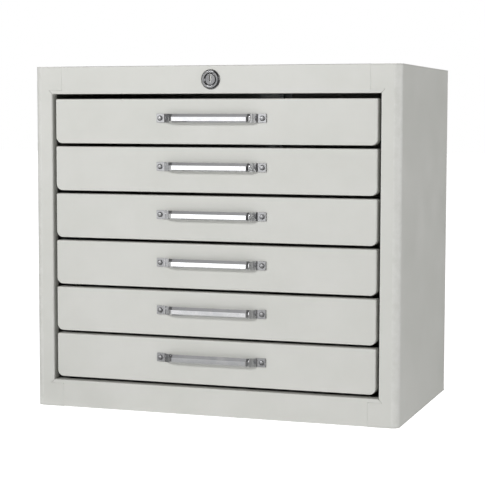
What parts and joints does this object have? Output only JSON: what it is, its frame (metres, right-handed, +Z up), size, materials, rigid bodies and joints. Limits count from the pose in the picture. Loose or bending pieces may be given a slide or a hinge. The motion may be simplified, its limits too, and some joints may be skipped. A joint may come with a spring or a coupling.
{
  "type": "flat file cabinet",
  "caption": "Desk-top steel flat file cabinet with shallow drawers on channel runners, strap pulls, and a key lock that blocks every drawer with one bar.",
  "frame": {"origin": "bottom centre of the whole object, on the surface it stands on", "axes": "+X to the right as seen from the front, +Y from the drawer faces to the back, +Z up"},
  "size_m": [0.4, 0.243, 0.3676],
  "materials": {
    "paint": "light grey baked enamel, semi-gloss",
    "zinc": "bright zinc plating",
    "chrome": "polished plating",
    "rubber": "matt black"
  },
  "bodies": {
    "cabinet": {"case_left_side": "paint", "case_right_side": "paint", "case_top": "paint", "case_bottom": "paint", "case_back": "paint", "runner_1_left": "zinc", "runner_1_right": "zinc", "runner_2_left": "zinc", "runner_2_right": "zinc", "runner_3_left": "zinc", "runner_3_right": "zinc", "runner_4_left": "zinc", "runner_4_right": "zinc", "runner_5_left": "zinc", "runner_5_right": "zinc", "runner_6_left": "zinc", "runner_6_right": "zinc", "foot_front_left": "rubber", "foot_front_right": "rubber", "foot_rear_left": "rubber", "foot_rear_right": "rubber", "lock_nut": "zinc", "lock_rod_bracket": "zinc", "lock_bar_guide_upper": "zinc", "lock_bar_guide_lower": "zinc", "lock_housing": "chrome"},
    "drawer_1": {"drawer_1_face": "paint", "drawer_1_tray": "paint", "drawer_1_pull": "chrome", "drawer_1_screw_left": "chrome", "drawer_1_screw_right": "chrome"},
    "drawer_2": {"drawer_2_face": "paint", "drawer_2_tray": "paint", "drawer_2_pull": "chrome", "drawer_2_screw_left": "chrome", "drawer_2_screw_right": "chrome"},
    "drawer_3": {"drawer_3_face": "paint", "drawer_3_tray": "paint", "drawer_3_pull": "chrome", "drawer_3_screw_left": "chrome", "drawer_3_screw_right": "chrome"},
    "drawer_4": {"drawer_4_face": "paint", "drawer_4_tray": "paint", "drawer_4_pull": "chrome", "drawer_4_screw_left": "chrome", "drawer_4_screw_right": "chrome"},
    "drawer_5": {"drawer_5_face": "paint", "drawer_5_tray": "paint", "drawer_5_pull": "chrome", "drawer_5_screw_left": "chrome", "drawer_5_screw_right": "chrome"},
    "drawer_6": {"drawer_6_face": "paint", "drawer_6_tray": "paint", "drawer_6_pull": "chrome", "drawer_6_screw_left": "chrome", "drawer_6_screw_right": "chrome"},
    "lock_cylinder": {"lock_plug": "chrome", "lock_rod": "zinc"},
    "lock_bar": {"lock_bar": "zinc"}
  },
  "joints": [
    {"name": "drawer_1_slide", "type": "slide", "parent": "cabinet", "child": "drawer_1", "axis": [0, -1, 0], "range_m": [0, 0.17]},
    {"name": "drawer_2_slide", "type": "slide", "parent": "cabinet", "child": "drawer_2", "axis": [0, -1, 0], "range_m": [0, 0.17]},
    {"name": "drawer_3_slide", "type": "slide", "parent": "cabinet", "child": "drawer_3", "axis": [0, -1, 0], "range_m": [0, 0.17]},
    {"name": "drawer_4_slide", "type": "slide", "parent": "cabinet", "child": "drawer_4", "axis": [0, -1, 0], "range_m": [0, 0.17]},
    {"name": "drawer_5_slide", "type": "slide", "parent": "cabinet", "child": "drawer_5", "axis": [0, -1, 0], "range_m": [0, 0.17]},
    {"name": "drawer_6_slide", "type": "slide", "parent": "cabinet", "child": "drawer_6", "axis": [0, -1, 0], "range_m": [0, 0.17]},
    {"name": "lock_turn", "type": "hinge", "parent": "cabinet", "child": "lock_cylinder", "pos_m": [0, -0.114, 0.3531], "axis": [0, 1, 0], "range_deg": [0, 90]},
    {"name": "lock_bar_lift", "type": "slide", "parent": "cabinet", "child": "lock_bar", "axis": [0, 0, 1], "range_m": [0, 0.006]}
  ],
  "couplings": [
    {"joint": "lock_turn", "follows": "lock_bar_lift", "rad_per_m": 261.8}
  ]
}
